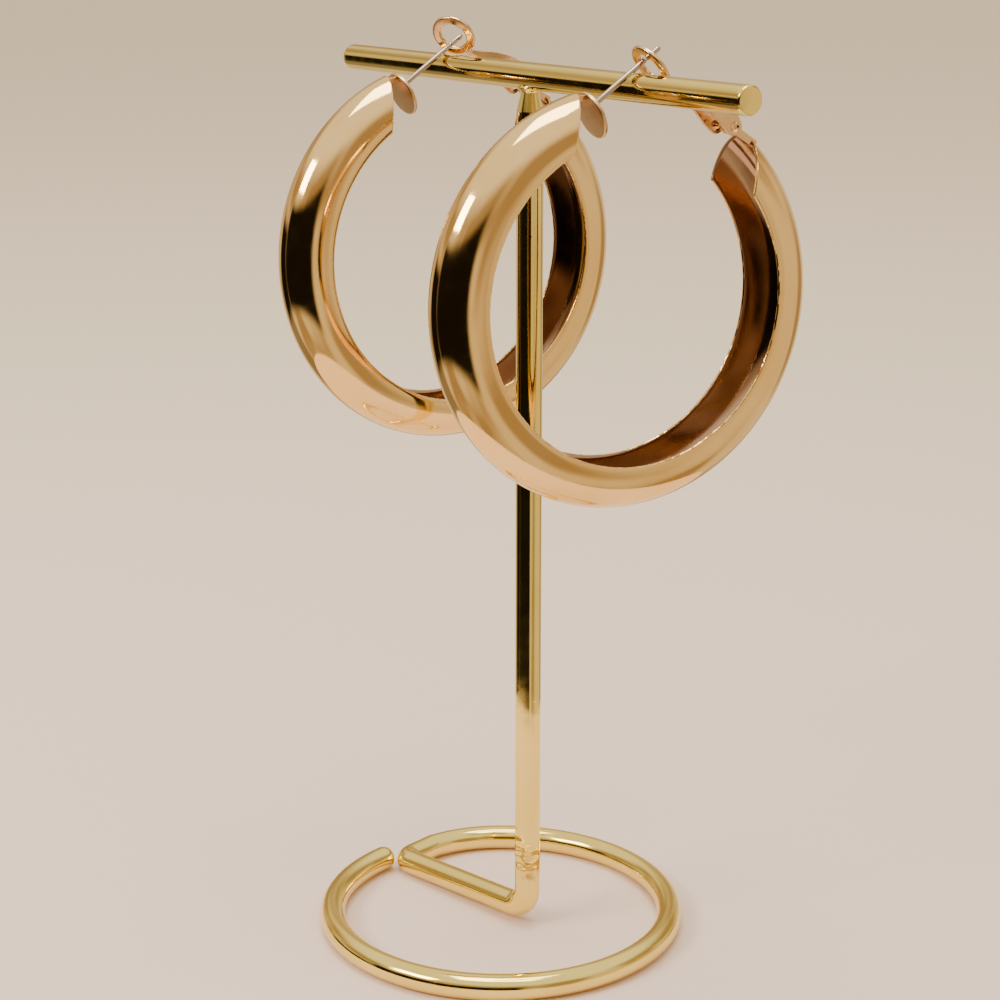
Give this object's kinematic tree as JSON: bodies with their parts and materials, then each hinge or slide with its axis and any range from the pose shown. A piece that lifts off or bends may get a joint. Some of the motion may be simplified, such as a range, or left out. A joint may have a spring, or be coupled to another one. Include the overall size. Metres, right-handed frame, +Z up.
{
  "type": "pair of hollow hoop earrings on a T-bar stand",
  "caption": "Pair of wide hollow hoop earrings with post and hinged omega clip, hung by their posts on the cross bar of a bent-wire T-shaped display stand with a ring base.",
  "frame": {"origin": "under the middle of the whole, on the surface the base ring rests on", "axes": "+Z up along the pole, +X along the cross bar toward the right-hand earring, +Y from the earrings' posts toward their hinges"},
  "size_m": [0.1034, 0.0624, 0.1466],
  "materials": {
    "stand_metal": "polished yellow gold plate",
    "hoop_metal": "polished rose-gold plate",
    "clip_metal": "bright rose-gold plate"
  },
  "bodies": {
    "stand_and_hoops": {"stand": "stand_metal", "hoop_right": "hoop_metal", "hoop_left": "hoop_metal"},
    "clip_right_body": {"clip_right": "clip_metal"},
    "clip_left_body": {"clip_left": "clip_metal"}
  },
  "joints": [
    {"name": "clip_hinge_right", "type": "hinge", "parent": "stand_and_hoops", "child": "clip_right_body", "pos_m": [0.0297, 0.01549, 0.13284], "axis": [-0.9934, 0.1132, -0.0209], "range_deg": [0, 70]},
    {"name": "clip_hinge_left", "type": "hinge", "parent": "stand_and_hoops", "child": "clip_left_body", "pos_m": [-0.02109, 0.01488, 0.13505], "axis": [-0.9997, 0.0192, -0.014], "range_deg": [0, 70]}
  ]
}
